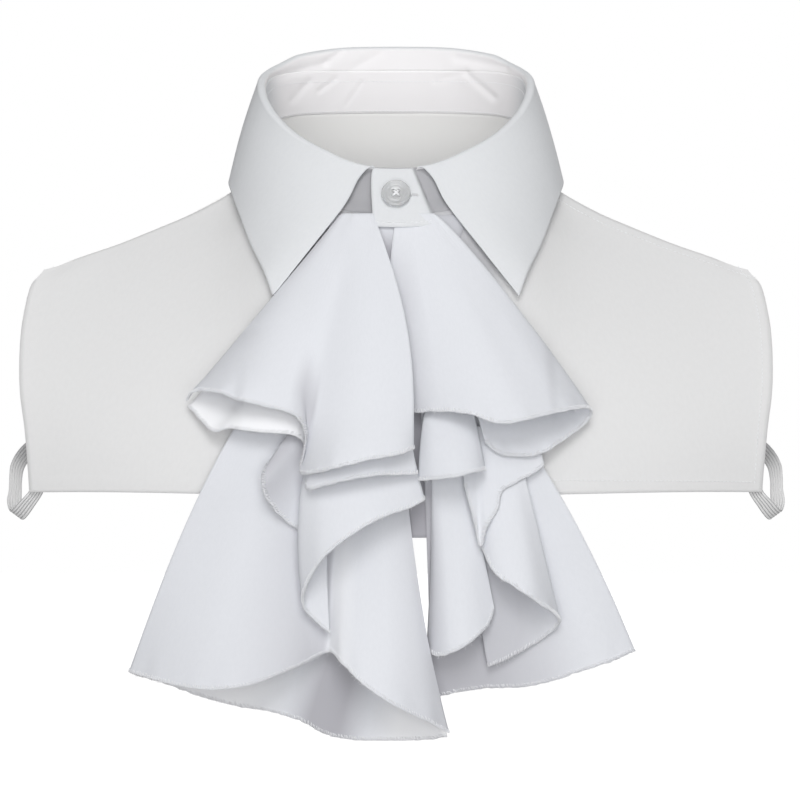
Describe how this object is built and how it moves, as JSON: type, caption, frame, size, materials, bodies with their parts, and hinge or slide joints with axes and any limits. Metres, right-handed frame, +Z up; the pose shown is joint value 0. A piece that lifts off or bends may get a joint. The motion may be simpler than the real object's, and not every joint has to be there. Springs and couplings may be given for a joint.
{
  "type": "collar dickey with jabot",
  "caption": "Detachable shirt collar front, worn at the neck, with a point collar, bib, elastic arm loops and a tiered ruffled jabot.",
  "frame": {"origin": "middle of the neck seam, in the centre of the neck opening", "axes": "+Z up as worn, -Y to the front of the chest, +X to the right as seen from the front"},
  "size_m": [0.4146, 0.2303, 0.3488],
  "materials": {
    "shirting": "matt plain weave",
    "collar_cloth": "matt plain weave, fused",
    "ruffle_cloth": "matt plain weave, overlocked hem",
    "elastic": "ribbed braid",
    "button_plastic": "clear, polished"
  },
  "bodies": {
    "root": {"front_panel_left": "shirting", "front_panel_right": "shirting", "back_panel": "shirting", "collar_stand": "collar_cloth", "collar_leaf": "collar_cloth", "collar_button": "button_plastic", "elastic_left": "elastic", "elastic_right": "elastic", "jabot_backing": "ruffle_cloth", "lower_left_rear_ruffle": "ruffle_cloth", "lower_left_ruffle": "ruffle_cloth", "left_pocket_ruffle": "ruffle_cloth", "third_left_ruffle": "ruffle_cloth", "second_left_ruffle": "ruffle_cloth", "upper_left_ruffle": "ruffle_cloth", "lower_right_rear_ruffle": "ruffle_cloth", "lower_right_ruffle": "ruffle_cloth", "inner_right_ruffle": "ruffle_cloth", "right_tip_ruffle": "ruffle_cloth", "right_tongue_ruffle": "ruffle_cloth", "upper_right_ruffle": "ruffle_cloth"}
  },
  "joints": []
}
